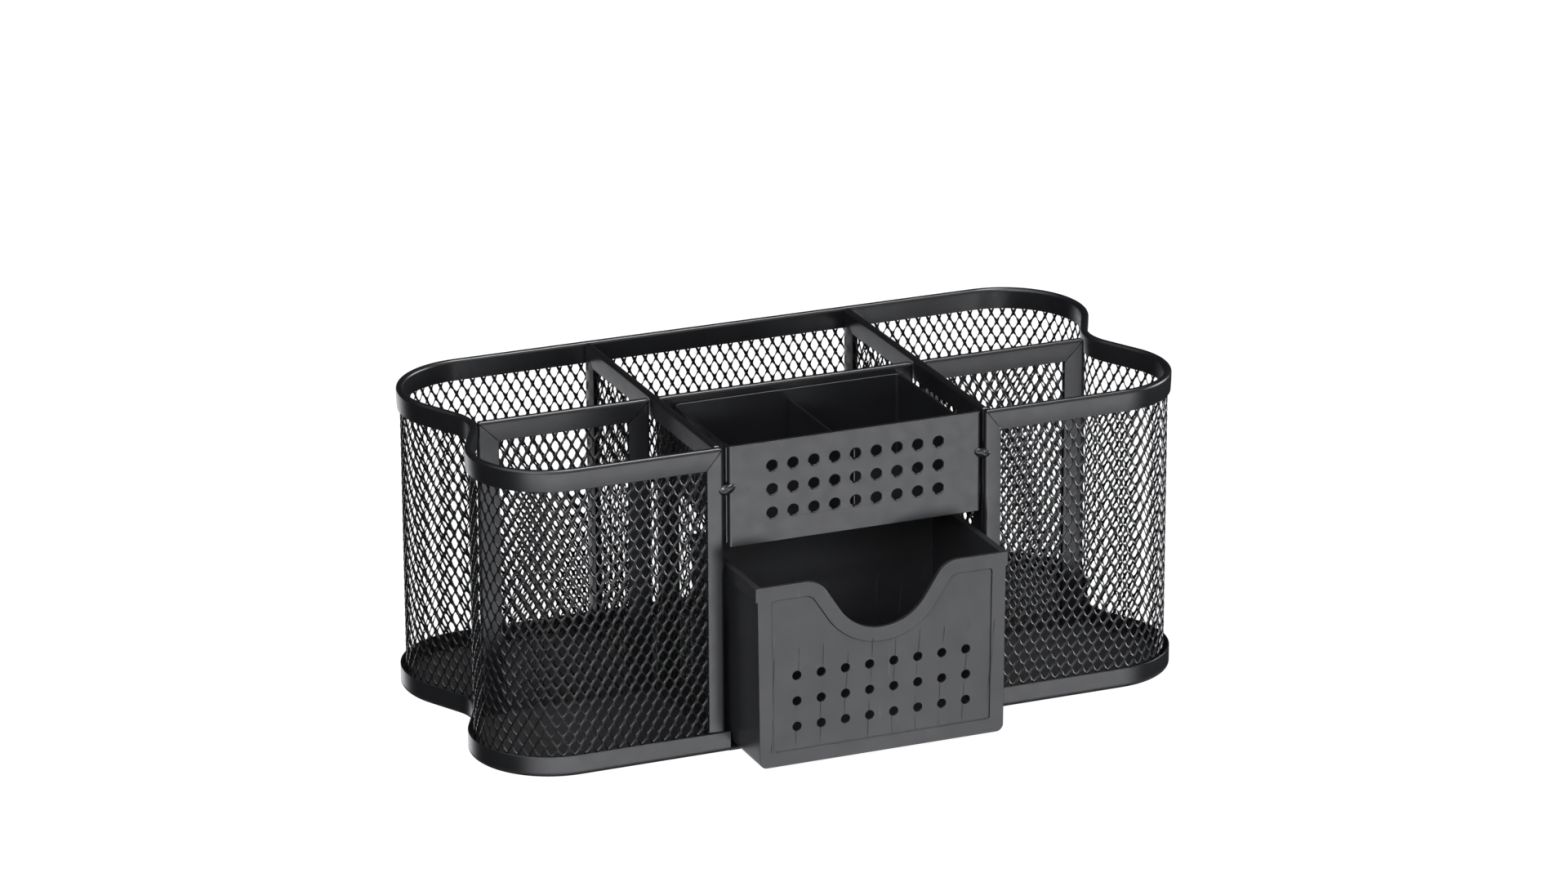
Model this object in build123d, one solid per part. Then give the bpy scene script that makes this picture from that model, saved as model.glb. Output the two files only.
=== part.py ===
from build123d import *
from math import cos, hypot, radians, tan
import os

# Mesh desk organizer, in millimetres
# +X is to the right, +Y to the back and +Z up, with the origin in the middle of the footprint

# Overall size, over the base band
WIDTH = 237.0
DEPTH = 116.0
HEIGHT = 100.0

# Plan of the sides: a front and a back lobe with a waist between them
FRONT_LOBE_R = 26.0
BACK_LOBE_R = 28.0
WAIST_R = 10.0
FLANK_LEAN = 27.0  # degrees between a flank of the waist and the depth direction

# Base pan
FLOOR = 0.8
BAND_HEIGHT = 6.7
BAND_BEND = 1.0
BAND_OVERRUN = 1.3  # the band's ends stand this far into the bay, past the posts

# Folded U strip of the rim, posts and frames
SHEET = 0.6
SLOT_PLAY = 0.15  # between the mesh and each leg
CHANNEL_LEG = 7.0
POST_WIDTH = 5.5
MITRE_GAP = 0.3
RIM_EDGE = 0.5
SEAT_GAP = 0.1  # between sheet pieces that nest or butt

# Expanded mesh, with cells between five and six times as large as the real ones
MESH = 0.9
CELL_WIDTH = 21.0
CELL_HEIGHT = 34.0
STRAND = 2.4
MESH_BORDER = 0.5  # plain strip that shows beside a frame

# Bay between the cups
BAY_WIDTH = 88.0
CROSS_DROP = 1.0  # top of the cross panels below the rim

# Punched fronts of the tray and the drawer
HOLE_SIDES = 16  # each round hole is drawn with this many sides

# Tray
TRAY_SHEET = 0.8
TRAY_HEIGHT = 32.8
TRAY_SIDE_GAP = 1.6
TRAY_BEND_R = 1.0
HEM_THICK = 1.8
HEM_HEIGHT = 3.0
END_RETURN = 4.0
SHELF = 8.0  # bottom edge of the front, bent back under the bin
BIN_INSET = 3.5
BIN_DROP = 3.7
BIN_CORNER_R = 2.0
BIN_DIVIDER_DROP = 2.8
TRAY_HOLE_D = 3.5
TRAY_HOLE_PITCH_X = 7.0
TRAY_HOLE_PITCH_Z = 7.7
TRAY_HOLE_COLUMNS = 9
TRAY_HOLE_ROWS = 3
TRAY_HOLE_DROP = 15.7  # middle row below the top
WELD_DROP = 14.0
WELD_D = 3.2
WELD_LENGTH = 4.2
WELD_END = 0.8
WELD_SINK = 0.4  # depth of the bead's axis behind the front face

# Drawer
DRAWER_OPEN = 21.0
DRAWER_PLAY = 0.3  # above the floor
DRAWER_SIDE_GAP = 1.6
DRAWER_BACK_GAP = 0.8
DRAWER_TOP_GAP = 6.6
DRAWER_WALL = 1.6
DRAWER_CORNER_R = 2.4
DRAWER_TAPER = 0.6  # each side is this much narrower at the bottom
LIP = 0.6
LIP_HEIGHT = 4.6
FINGER_WIDTH = 42.4  # between the sharp shoulders, before they are rounded
FINGER_SLOPE = 57.0  # degrees
FINGER_R = 17.0
SHOULDER_R = 8.0
RECESS_INSET = 4.7
RECESS_DEPTH = 0.4
RECESS_CORNER_R = 1.0
DRAWER_HOLE_D = 3.0
DRAWER_HOLE_PITCH_X = 8.15
DRAWER_HOLE_PITCH_Z = 8.45
DRAWER_HOLE_COLUMNS = 8
DRAWER_HOLE_ROWS = 3
DRAWER_HOLE_RISE = 20.6  # middle row above the drawer's bottom

# Places that follow from those sizes
FRONT = -DEPTH / 2
BACK = DEPTH / 2
BAY = BAY_WIDTH / 2
BAND_END = BAY - BAND_OVERRUN
SLOT = MESH + 2 * SLOT_PLAY
CHANNEL = SLOT + 2 * SHEET
RIM_OUTSIDE = SHEET + SEAT_GAP  # the rim, posts and tray front stand just inside the base band
RIM_INSIDE = RIM_OUTSIDE + CHANNEL
MESH_LINE = RIM_OUTSIDE + CHANNEL / 2
RIM_LOW = HEIGHT - CHANNEL_LEG
FACE_Y = FRONT + RIM_OUTSIDE
CELL_LOW = BAND_HEIGHT + MESH_BORDER
TRAY_LOW = HEIGHT - TRAY_HEIGHT
TRAY_HALF = BAY - TRAY_SIDE_GAP
BIN_HALF = TRAY_HALF - BIN_INSET
BIN_FLOOR = TRAY_LOW + 2 * TRAY_SHEET
BIN_TOP = HEIGHT - BIN_DROP
BIN_FRONT = FACE_Y + TRAY_SHEET
DRAWER_LOW = FLOOR + DRAWER_PLAY
DRAWER_TOP = TRAY_LOW - DRAWER_TOP_GAP
DRAWER_HALF = BAY - DRAWER_SIDE_GAP - LIP


def block(x0, x1, y0, y1, z0, z1):
    middle = ((x0 + x1) / 2, (y0 + y1) / 2, (z0 + z1) / 2)
    return Pos(*middle) * Box(x1 - x0, y1 - y0, z1 - z0)


def upright(outline, y0, y1):
    # A closed outline drawn in x and z, taken from y0 back to y1
    return extrude(Plane.XZ.offset(-y0) * make_face(outline), y0 - y1)


def punched(front_y, depth, places, diameter):
    # Round holes through a front that stands upright at front_y
    plane = Plane.XZ.offset(-front_y)
    hole = RegularPolygon(diameter / 2, HOLE_SIDES)
    return [extrude(plane * place * hole, -depth) for place in places]


def plan_corners(inset):
    # The right side's corners before rounding, moved inwards by inset: front lobe, waist and back lobe
    slope = tan(radians(FLANK_LEAN))
    reach = slope + 1 / cos(radians(FLANK_LEAN)) - 1
    half = WIDTH / 2 - inset
    front_x = half + (FRONT_LOBE_R - inset) * reach
    back_x = half + (BACK_LOBE_R - inset) * reach
    waist_y = (front_x - back_x) / (2 * slope)
    waist_x = front_x - (waist_y - FRONT - inset) * slope
    return (front_x, FRONT + inset), (waist_x, waist_y), (back_x, BACK - inset)


def waist_place(inset):
    # The innermost point of the rounded waist
    corner_x, waist_y = plan_corners(inset)[1]
    rounding = (WAIST_R + inset) * (1 / cos(radians(FLANK_LEAN)) - 1)
    return corner_x + rounding, waist_y


def plan_path(end_x, inset):
    # The outline in plan, from the right side of the bay round the back to the left side
    right = plan_corners(inset)
    left = [(-x, y) for x, y in reversed(right)]
    radii = [FRONT_LOBE_R - inset, WAIST_R + inset, BACK_LOBE_R - inset]
    start = (end_x, FRONT + inset)
    end = (-end_x, FRONT + inset)
    return FilletPolyline(start, *right, *left, end, radius=radii + radii[::-1])


def plan_ring(end_x, outer_inset, inner_inset):
    outer = plan_path(end_x, outer_inset)
    inner = plan_path(end_x, inner_inset)
    return make_face([*outer.edges(), *inner.edges(), Line(outer @ 0, inner @ 0), Line(outer @ 1, inner @ 1)])


def mesh_cells(length, height):
    # Diamond openings of a net that fills length by height, as (place along, place up, face).
    # Alternate columns are staggered, and those on the edges are cut off there.
    columns = max(1, round(length / CELL_WIDTH)) * 2
    rows = max(1, round(2 * height / CELL_HEIGHT))
    half_wide = length / columns
    half_tall = height / rows
    open_share = 1 - STRAND / 2 * hypot(half_wide, half_tall) / (half_wide * half_tall)
    a = half_wide * open_share
    b = half_tall * open_share
    cells = []
    for i in range(columns + 1):
        for j in range((i + 1) % 2, rows + 1, 2):
            tips = [((-a, 0), i > 0), ((0, -b), j > 0), ((a, 0), i < columns), ((0, b), j < rows)]
            corners = [tip for tip, inside in tips if inside]
            if len(corners) == 2:
                corners.append((0, 0))
            cells.append((i * half_wide, j * half_tall, make_face(Polyline(*corners, close=True))))
    return cells


def plan_area(inset):
    # The whole plan, straight across the bay
    path = plan_path(BAND_END, inset)
    return make_face([*path.edges(), Line(path @ 1, path @ 0)])


def base_pan():
    outside = extrude(plan_area(0), BAND_HEIGHT)
    pan = chamfer(outside.edges().filter_by_position(Axis.Z, 0, 0), BAND_BEND)
    pan -= extrude(Pos(Z=FLOOR) * plan_area(SHEET), BAND_HEIGHT)
    return pan - block(-BAND_END, BAND_END, FRONT, FACE_Y, 0, BAND_HEIGHT)


def wall_mesh():
    end_x = BAY + SHEET
    path = plan_path(end_x, MESH_LINE)
    ring = plan_ring(end_x, MESH_LINE - MESH / 2, MESH_LINE + MESH / 2)
    sheet = extrude(Pos(Z=FLOOR) * ring, HEIGHT - SHEET - FLOOR)
    start = POST_WIDTH - SHEET + MESH_BORDER
    reach = MESH + CELL_WIDTH**2 / 8 / WAIST_R  # a cell of the curved waist stands this far off its tangent
    cutters = []
    for along, up, cell in mesh_cells(path.length - 2 * start, RIM_LOW - MESH_BORDER - CELL_LOW):
        place = path.position_at(start + along, PositionMode.LENGTH) + (0, 0, CELL_LOW + up)
        tangent = path.tangent_at(start + along, PositionMode.LENGTH)
        plane = Plane(place, x_dir=tangent, z_dir=tangent.cross(Vector(0, 0, 1)))
        cutters.append(extrude(plane * cell, reach, both=True))
    return sheet - cutters


def rim_band():
    ring = extrude(Pos(Z=RIM_LOW) * plan_ring(BAY, RIM_OUTSIDE, RIM_INSIDE), CHANNEL_LEG)
    top = ring.edges().filter_by_position(Axis.Z, HEIGHT, HEIGHT)
    folds = [edge for edge in top if abs(edge.center().X) > BAY + SHEET or edge.center().Y > 0]
    ring = chamfer(folds, RIM_EDGE)
    slot = plan_ring(BAY, RIM_OUTSIDE + SHEET, RIM_INSIDE - SHEET)
    ring -= extrude(Pos(Z=RIM_LOW) * slot, CHANNEL_LEG - SHEET)
    low_x = BAY + POST_WIDTH + MITRE_GAP
    corners = [(BAY, RIM_LOW), (low_x, RIM_LOW), (BAY + MITRE_GAP, HEIGHT), (BAY, HEIGHT)]
    mitre = upright(Polyline(*corners, close=True), FACE_Y, FRONT + RIM_INSIDE)
    return ring - mitre - mirror(mitre, about=Plane.YZ)


def front_post():
    # The right one
    far_x = BAY + POST_WIDTH
    post = block(BAY, far_x, FACE_Y, FRONT + RIM_INSIDE, FLOOR, HEIGHT)
    post -= block(BAY + SHEET, far_x, FACE_Y + SHEET, FRONT + RIM_INSIDE - SHEET, FLOOR, HEIGHT)
    corners = [(BAY, HEIGHT), (far_x, RIM_LOW), (far_x, HEIGHT)]
    return post - upright(Polyline(*corners, close=True), FACE_Y, FRONT + RIM_INSIDE)


def framed_panel(plane, length, height):
    # A flat mesh panel in its U-strip frame: rail, near stile, far stile and mesh
    # The plane's x runs along it
    leg = CHANNEL_LEG
    rail = [(0, height), (length, height), (length - leg, height - leg), (leg, height - leg)]
    near = [(0, 0), (0, height - MITRE_GAP), (leg, height - leg - MITRE_GAP), (leg, 0)]
    far = [(length - u, v) for u, v in near]
    inner = Pos(length / 2, (height - SHEET) / 2) * Rectangle(length - 2 * SHEET, height - SHEET)
    slot = extrude(plane * inner, SLOT / 2, both=True)
    pieces = []
    for corners in (rail, near, far):
        strip = extrude(plane * make_face(Polyline(*corners, close=True)), CHANNEL / 2, both=True)
        pieces.append(strip - slot)
    low = CELL_LOW - FLOOR
    side = leg + MESH_BORDER
    cells = mesh_cells(length - 2 * side, height - leg - MESH_BORDER - low)
    net = inner - [Pos(side + along, low + up) * cell for along, up, cell in cells]
    pieces.append(extrude(plane * net, MESH / 2, both=True))
    return pieces


def divider():
    # The right cup's inner wall
    start_y = FRONT + RIM_INSIDE + SEAT_GAP
    plane = Plane((BAY + CHANNEL / 2, start_y, FLOOR), x_dir=(0, 1, 0), z_dir=(1, 0, 0))
    return framed_panel(plane, BACK - RIM_INSIDE - SEAT_GAP - start_y, HEIGHT - FLOOR)


def cross_panel(start_x, end_x):
    plane = Plane((start_x, waist_place(0)[1], FLOOR), x_dir=(1, 0, 0), z_dir=(0, -1, 0))
    return framed_panel(plane, end_x - start_x, HEIGHT - CROSS_DROP - FLOOR)


def tray_front():
    back_y = FACE_Y + TRAY_SHEET
    plate = block(-TRAY_HALF, TRAY_HALF, FACE_Y, back_y, TRAY_LOW, HEIGHT)
    plate += block(-TRAY_HALF, TRAY_HALF, FACE_Y, FACE_Y + HEM_THICK, HEIGHT - HEM_HEIGHT, HEIGHT)
    plate += block(-TRAY_HALF, TRAY_HALF, FACE_Y, FACE_Y + SHELF, TRAY_LOW, TRAY_LOW + TRAY_SHEET)
    end = block(TRAY_HALF - TRAY_SHEET, TRAY_HALF, FACE_Y, FACE_Y + END_RETURN, TRAY_LOW, HEIGHT)
    plate += end + mirror(end, about=Plane.YZ)
    bends = plate.edges().filter_by_position(Axis.Y, FACE_Y, FACE_Y)
    plate = fillet([edge for edge in bends if edge.center().Z < HEIGHT], TRAY_BEND_R)
    middle = Pos(0, HEIGHT - TRAY_HOLE_DROP)
    grid = GridLocations(TRAY_HOLE_PITCH_X, TRAY_HOLE_PITCH_Z, TRAY_HOLE_COLUMNS, TRAY_HOLE_ROWS)
    return plate - punched(FACE_Y, TRAY_SHEET, middle * grid, TRAY_HOLE_D)


def tray_bin():
    back_y = waist_place(0)[1] - CHANNEL / 2 - SEAT_GAP

    def inside(wall, low):
        # The bin's plan, drawn in by wall: square at the tray front and rounded at the back
        half = BIN_HALF - wall
        corners = [(-half, BIN_FRONT), (-half, back_y - wall), (half, back_y - wall), (half, BIN_FRONT)]
        sides = FilletPolyline(*corners, radius=BIN_CORNER_R - wall)
        plan = make_face([*sides.edges(), Line(sides @ 1, sides @ 0)])
        return extrude(Pos(Z=low) * plan, BIN_TOP - low)

    return inside(0, BIN_FLOOR - TRAY_SHEET) - inside(TRAY_SHEET, BIN_FLOOR)


def tray_divider():
    half = TRAY_SHEET / 2
    back_y = waist_place(0)[1] - CHANNEL / 2 - SEAT_GAP - TRAY_SHEET
    return block(-half, half, BIN_FRONT, back_y, BIN_FLOOR, BIN_TOP - BIN_DIVIDER_DROP)


def tack_weld(front):
    # The right bead, which fills the gap between tray front and post and laps over both
    place = Pos((BAY + TRAY_HALF) / 2, FACE_Y + WELD_SINK, HEIGHT - WELD_DROP)
    bar = Rot(Y=90) * Cylinder(WELD_D / 2, WELD_LENGTH)
    bead = place * chamfer(bar.edges().filter_by(GeomType.CIRCLE), WELD_END)
    bead -= block(BAY, BAY + POST_WIDTH, FACE_Y, FRONT + RIM_INSIDE, FLOOR, HEIGHT)
    bead -= front
    return bead.solids().sort_by(SortBy.VOLUME)[-1]


def finger_line(inset):
    # Top edge of the drawer's front with its dipped finger cut-out, drawn in by inset: corners and their radii
    slope = radians(FINGER_SLOPE)
    top = DRAWER_TOP - inset
    half = DRAWER_HALF - inset
    dip = DRAWER_TOP - FINGER_WIDTH / 2 * tan(slope) - inset / cos(slope)
    shoulder = (top - dip) / tan(slope)
    corners = [(-half, top), (-shoulder, top), (0, dip), (shoulder, top), (half, top)]
    return corners, [SHOULDER_R - inset, FINGER_R + inset, SHOULDER_R - inset]


def finger_cutout(front_y):
    corners, radii = finger_line(0)
    edge = FilletPolyline(*corners, radius=radii)
    above = DRAWER_TOP + DRAWER_WALL
    lid = Polyline(edge @ 1, (DRAWER_HALF, above), (-DRAWER_HALF, above), edge @ 0)
    return upright([*edge.edges(), *lid.edges()], front_y, front_y + DRAWER_WALL)


def front_recess(front_y):
    # The shallow panel inside the front's raised edge
    corners, radii = finger_line(RECESS_INSET)
    low = DRAWER_LOW + RECESS_INSET
    foot = DRAWER_HALF - DRAWER_TAPER - RECESS_INSET
    corners += [(foot, low), (-foot, low)]
    ends = [RECESS_CORNER_R, RECESS_CORNER_R]
    edge = FilletPolyline(*corners, radius=[RECESS_CORNER_R, *radii, RECESS_CORNER_R, *ends], close=True)
    return upright(edge.edges(), front_y, front_y + RECESS_DEPTH)


def drawer_tub(wall, front_y, back_y):
    # The tub drawn in by wall, up to its top edge: tapered sides, rounded along the bottom
    head = DRAWER_HALF - wall
    foot = head - DRAWER_TAPER
    low = DRAWER_LOW + wall
    corners = [(-head, DRAWER_TOP), (-foot, low), (foot, low), (head, DRAWER_TOP)]
    section = FilletPolyline(*corners, radius=DRAWER_CORNER_R - wall)
    return upright([*section.edges(), Line(section @ 1, section @ 0)], front_y, back_y)


def drawer():
    front_y = FACE_Y - DRAWER_OPEN
    back_y = waist_place(0)[1] - CHANNEL / 2 - DRAWER_BACK_GAP - DRAWER_OPEN
    lip_half = DRAWER_HALF + LIP
    tub = drawer_tub(0, front_y, back_y)
    tub += block(-lip_half, lip_half, front_y, back_y, DRAWER_TOP - LIP_HEIGHT, DRAWER_TOP)
    tub -= drawer_tub(DRAWER_WALL, front_y + DRAWER_WALL, back_y - DRAWER_WALL)
    tub -= finger_cutout(front_y)
    tub -= front_recess(front_y)
    middle = Pos(0, DRAWER_LOW + DRAWER_HOLE_RISE)
    grid = GridLocations(DRAWER_HOLE_PITCH_X, DRAWER_HOLE_PITCH_Z, DRAWER_HOLE_COLUMNS, DRAWER_HOLE_ROWS)
    return tub - punched(front_y, DRAWER_WALL, middle * grid, DRAWER_HOLE_D)


RIGHT = {"front_post": front_post()}
for name, piece in zip(("rail", "front_stile", "rear_stile", "mesh"), divider()):
    RIGHT["divider_" + name] = piece
CUP_START = BAY + CHANNEL + SEAT_GAP
CUP_END = waist_place(RIM_INSIDE)[0] - SEAT_GAP
for name, piece in zip(("rail", "inner_stile", "outer_stile", "mesh"), cross_panel(CUP_START, CUP_END)):
    RIGHT["cross_" + name] = piece

TRAY_FRONT = tray_front()
WELD = tack_weld(TRAY_FRONT)
NODES = {
    "base_pan": base_pan(),
    "wall_mesh": wall_mesh(),
    "rim_band": rim_band(),
    "tray_front": TRAY_FRONT,
    "tray_bin": tray_bin(),
    "tray_divider": tray_divider(),
    "tack_welds": Compound(children=[WELD, mirror(WELD, about=Plane.YZ)]),
    "drawer": drawer(),
}
MIDDLE = cross_panel(SEAT_GAP - BAY, BAY - SEAT_GAP)
for name, piece in zip(("rail", "left_stile", "right_stile", "mesh"), MIDDLE):
    NODES["middle_cross_" + name] = piece
for name, piece in RIGHT.items():
    NODES["right_" + name] = piece
    NODES["left_" + name] = mirror(piece, about=Plane.YZ)

os.makedirs("parts", exist_ok=True)
for name, piece in NODES.items():
    export_step(piece, f"parts/{name}.step")
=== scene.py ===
import bpy
import bmesh
import math
from mathutils import Matrix, Vector


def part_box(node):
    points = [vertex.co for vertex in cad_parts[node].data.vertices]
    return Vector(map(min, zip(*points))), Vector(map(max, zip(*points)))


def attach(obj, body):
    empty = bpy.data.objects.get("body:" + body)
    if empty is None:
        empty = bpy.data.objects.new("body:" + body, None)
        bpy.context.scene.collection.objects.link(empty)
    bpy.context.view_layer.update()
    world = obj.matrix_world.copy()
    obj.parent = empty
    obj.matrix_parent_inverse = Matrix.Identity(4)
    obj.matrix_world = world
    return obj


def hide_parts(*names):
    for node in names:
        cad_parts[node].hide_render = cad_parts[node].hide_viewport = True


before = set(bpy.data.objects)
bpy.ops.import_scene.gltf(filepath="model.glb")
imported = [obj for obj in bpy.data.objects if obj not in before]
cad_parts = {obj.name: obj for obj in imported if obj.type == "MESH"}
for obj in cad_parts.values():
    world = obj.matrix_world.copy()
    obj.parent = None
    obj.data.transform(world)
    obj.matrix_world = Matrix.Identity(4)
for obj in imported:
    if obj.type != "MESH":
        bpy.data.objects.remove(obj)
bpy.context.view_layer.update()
mm = 0.001
up = Vector((0, 0, 1))
alongX, alongY = Vector((1, 0, 0)), Vector((0, 1, 0))
samePlace = 0.002 * mm                                 # points closer than this are one point
print("packed frame loaded:", len(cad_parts), "nodes")


# small helpers for node trees, shared by the finishes and the geometry

def addStep(tree, kind, inputs=None, **settings):
    step = tree.nodes.new(kind)
    for key, value in settings.items():
        setattr(step, key, value)
    for key, source in (inputs or {}).items():
        if isinstance(source, bpy.types.NodeSocket):
            tree.links.new(source, step.inputs[key])
        else:
            step.inputs[key].default_value = source
    return step


def calc(tree, operation, *values):
    return addStep(tree, "ShaderNodeMath", dict(enumerate(values)), operation=operation).outputs[0]


def vectorCalc(tree, operation, inputs):
    return addStep(tree, "ShaderNodeVectorMath", inputs, operation=operation).outputs


def splitVector(tree, vector):
    return addStep(tree, "ShaderNodeSeparateXYZ", {"Vector": vector}).outputs


def startFinish(name):
    finish = bpy.data.materials.new(name)
    finish.use_nodes = True
    tree = finish.node_tree
    place = addStep(tree, "ShaderNodeTexCoord").outputs["Object"]
    return finish, tree, place, tree.nodes["Principled BSDF"]


def grain(tree, place, scale, detail):
    inputs = {"Vector": place, "Scale": scale, "Detail": detail}
    return addStep(tree, "ShaderNodeTexNoise", inputs).outputs["Fac"]


def spread(tree, source, low, high, start=0.3, end=0.7):
    inputs = {"Value": source, "From Min": start, "From Max": end, "To Min": low, "To Max": high}
    return addStep(tree, "ShaderNodeMapRange", inputs).outputs["Result"]


def blendColours(tree, factor, first, second):
    mix = addStep(tree, "ShaderNodeMix", data_type="RGBA")
    pair = [socket for socket in mix.inputs if socket.type == "RGBA"]  # the floats have the same names
    for socket, colour in zip(pair, (first, second)):
        if isinstance(colour, bpy.types.NodeSocket):
            tree.links.new(colour, socket)
        else:
            socket.default_value = (*colour, 1)
    tree.links.new(factor, mix.inputs["Factor"])
    return next(out for out in mix.outputs if out.type == "RGBA")


# finishes, in which cloud, gloss, peel and the like are noises given as scale and detail

coat = {"cloud": (55.0, 3.0), "gloss": (240.0, 2.0), "peelHeight": 0.004 * mm, "floorZ": (1.0 * mm, 1.6 * mm)}
sheetCoat = {**coat, "dark": (0.0075, 0.0076, 0.0084), "light": (0.0105, 0.0107, 0.0116),
             "shine": (0.28, 0.32), "peel": (1300.0, 2.5), "specular": 0.5, "floorDull": 0.30}
meshCoat = {**coat, "dark": (0.005, 0.0051, 0.0054), "light": (0.009, 0.0091, 0.0097),
            "shine": (0.18, 0.26), "peel": (2200.0, 2.5), "specular": 0.85, "floorDull": 0.0}


def powderCoat(name, look):
    finish, tree, place, shader = startFinish(name)
    cloud = spread(tree, grain(tree, place, *look["cloud"]), 0.0, 1.0)
    tree.links.new(blendColours(tree, cloud, look["dark"], look["light"]), shader.inputs["Base Color"])
    height = splitVector(tree, place)["Z"]
    dull = spread(tree, height, look["floorDull"], 0.0, *look["floorZ"])    # the pan's floor is duller
    shine = spread(tree, grain(tree, place, *look["gloss"]), *look["shine"])
    tree.links.new(calc(tree, "ADD", shine, dull), shader.inputs["Roughness"])
    peel = grain(tree, place, *look["peel"])           # orange peel of the baked powder
    inputs = {"Height": peel, "Strength": 1.0, "Distance": look["peelHeight"]}
    bump = addStep(tree, "ShaderNodeBump", inputs)
    tree.links.new(bump.outputs["Normal"], shader.inputs["Normal"])
    shader.inputs["Specular IOR Level"].default_value = look["specular"]
    return finish


plasticLook = {
    "dark": (0.014, 0.0143, 0.0155), "light": (0.018, 0.0184, 0.0199), "pale": (0.035, 0.035, 0.037),
    "cloud": (45.0, 4.0), "gloss": (160.0, 3.0), "shine": (0.37, 0.41), "specular": 0.62,
    "flowPitch": 8.15 * mm, "flowTilt": 0.05, "flowWidth": 0.16 * mm, "flowLow": 6 * mm,
    "flowHigh": 39 * mm, "flowRough": 0.40, "flowDepth": 0.02 * mm, "frontShare": 0.9,
    "wander": (35.0, 1.0), "wanderReach": 2.2 * mm, "breaks": (130.0, 1.0), "breakRange": (0.42, 0.58),
    "scratch": (900.0, 0.0), "scratchRange": (0.735, 0.76), "scratchTurn": (0.3, 0.9, 0.2),
    "scratchStretch": (1.0, 1.0, 0.06), "scratchPatch": (60.0, 1.0), "scratchPatchRange": (0.55, 0.62),
    "grain": (2600.0, 2.0), "grainHeight": 0.006 * mm, "lumps": (900.0, 2.0), "lumpHeight": 0.035 * mm,
    "lumpPatch": (28.0, 1.0), "lumpPatchRange": (0.45, 0.65), "lumpLeast": 0.1}


def flowLines(tree, place, look):                      # moulding marks, one to each column of holes
    axes = splitVector(tree, place)
    normal = splitVector(tree, addStep(tree, "ShaderNodeNewGeometry").outputs["Normal"])
    onFront = calc(tree, "GREATER_THAN", calc(tree, "MULTIPLY", normal["Y"], -1.0), look["frontShare"])
    wander = calc(tree, "MULTIPLY", grain(tree, place, *look["wander"]), look["wanderReach"])
    slant = calc(tree, "ADD", calc(tree, "MULTIPLY", axes["Z"], -look["flowTilt"]), wander)
    pitches = calc(tree, "DIVIDE", calc(tree, "ADD", axes["X"], slant), look["flowPitch"])
    phase = calc(tree, "FRACT", pitches)
    fromLine = calc(tree, "ABSOLUTE", calc(tree, "SUBTRACT", phase, 0.5))
    line = calc(tree, "LESS_THAN", calc(tree, "MULTIPLY", fromLine, look["flowPitch"]), look["flowWidth"])
    aboveFoot = calc(tree, "GREATER_THAN", axes["Z"], look["flowLow"])
    belowHead = calc(tree, "LESS_THAN", axes["Z"], look["flowHigh"])
    inHeight = calc(tree, "MULTIPLY", aboveFoot, belowHead)
    broken = spread(tree, grain(tree, place, *look["breaks"]), 0.0, 1.0, *look["breakRange"])
    marks = calc(tree, "MULTIPLY", line, inHeight)
    return calc(tree, "MULTIPLY", marks, calc(tree, "MULTIPLY", broken, onFront))


def fineScratches(tree, place, look):                  # short and far apart
    inputs = {"Vector": place, "Rotation": look["scratchTurn"], "Scale": look["scratchStretch"]}
    stretched = addStep(tree, "ShaderNodeMapping", inputs).outputs["Vector"]
    scratch = spread(tree, grain(tree, stretched, *look["scratch"]), 0.0, 1.0, *look["scratchRange"])
    patch = spread(tree, grain(tree, place, *look["scratchPatch"]), 0.0, 1.0, *look["scratchPatchRange"])
    return calc(tree, "MULTIPLY", scratch, patch)


def drawerPlastic(name, look):
    finish, tree, place, shader = startFinish(name)
    flow = flowLines(tree, place, look)
    cloud = spread(tree, grain(tree, place, *look["cloud"]), 0.0, 1.0)
    plain = blendColours(tree, cloud, look["dark"], look["light"])
    worked = blendColours(tree, fineScratches(tree, place, look), plain, look["pale"])
    tree.links.new(worked, shader.inputs["Base Color"])
    shine = spread(tree, grain(tree, place, *look["gloss"]), *look["shine"])
    rough = calc(tree, "ADD", shine, calc(tree, "MULTIPLY", flow, look["flowRough"]))
    tree.links.new(rough, shader.inputs["Roughness"])
    shader.inputs["Specular IOR Level"].default_value = look["specular"]
    fine = calc(tree, "MULTIPLY", grain(tree, place, *look["grain"]), look["grainHeight"])
    lumps = calc(tree, "MULTIPLY", grain(tree, place, *look["lumps"]), look["lumpHeight"])
    patch = grain(tree, place, *look["lumpPatch"])
    patch = spread(tree, patch, look["lumpLeast"], 1.0, *look["lumpPatchRange"])
    relief = calc(tree, "ADD", fine, calc(tree, "MULTIPLY", lumps, patch))
    relief = calc(tree, "SUBTRACT", relief, calc(tree, "MULTIPLY", flow, look["flowDepth"]))
    bump = addStep(tree, "ShaderNodeBump", {"Height": relief, "Strength": 1.0, "Distance": 1.0})
    tree.links.new(bump.outputs["Normal"], shader.inputs["Normal"])
    return finish


floorLook = {"dark": (0.15, 0.15, 0.15), "light": (0.16, 0.16, 0.16), "cloud": (3.0, 2.0), "rough": 0.9,
             "specular": 0.1, "glow": 0.95}


def paleFloor(name, look):
    finish, tree, place, shader = startFinish(name)
    cloud = spread(tree, grain(tree, place, *look["cloud"]), 0.0, 1.0)
    tree.links.new(blendColours(tree, cloud, look["dark"], look["light"]), shader.inputs["Base Color"])
    shader.inputs["Roughness"].default_value = look["rough"]
    shader.inputs["Specular IOR Level"].default_value = look["specular"]
    shader.inputs["Emission Color"].default_value = (1, 1, 1, 1)
    shader.inputs["Emission Strength"].default_value = look["glow"]
    return finish


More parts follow.
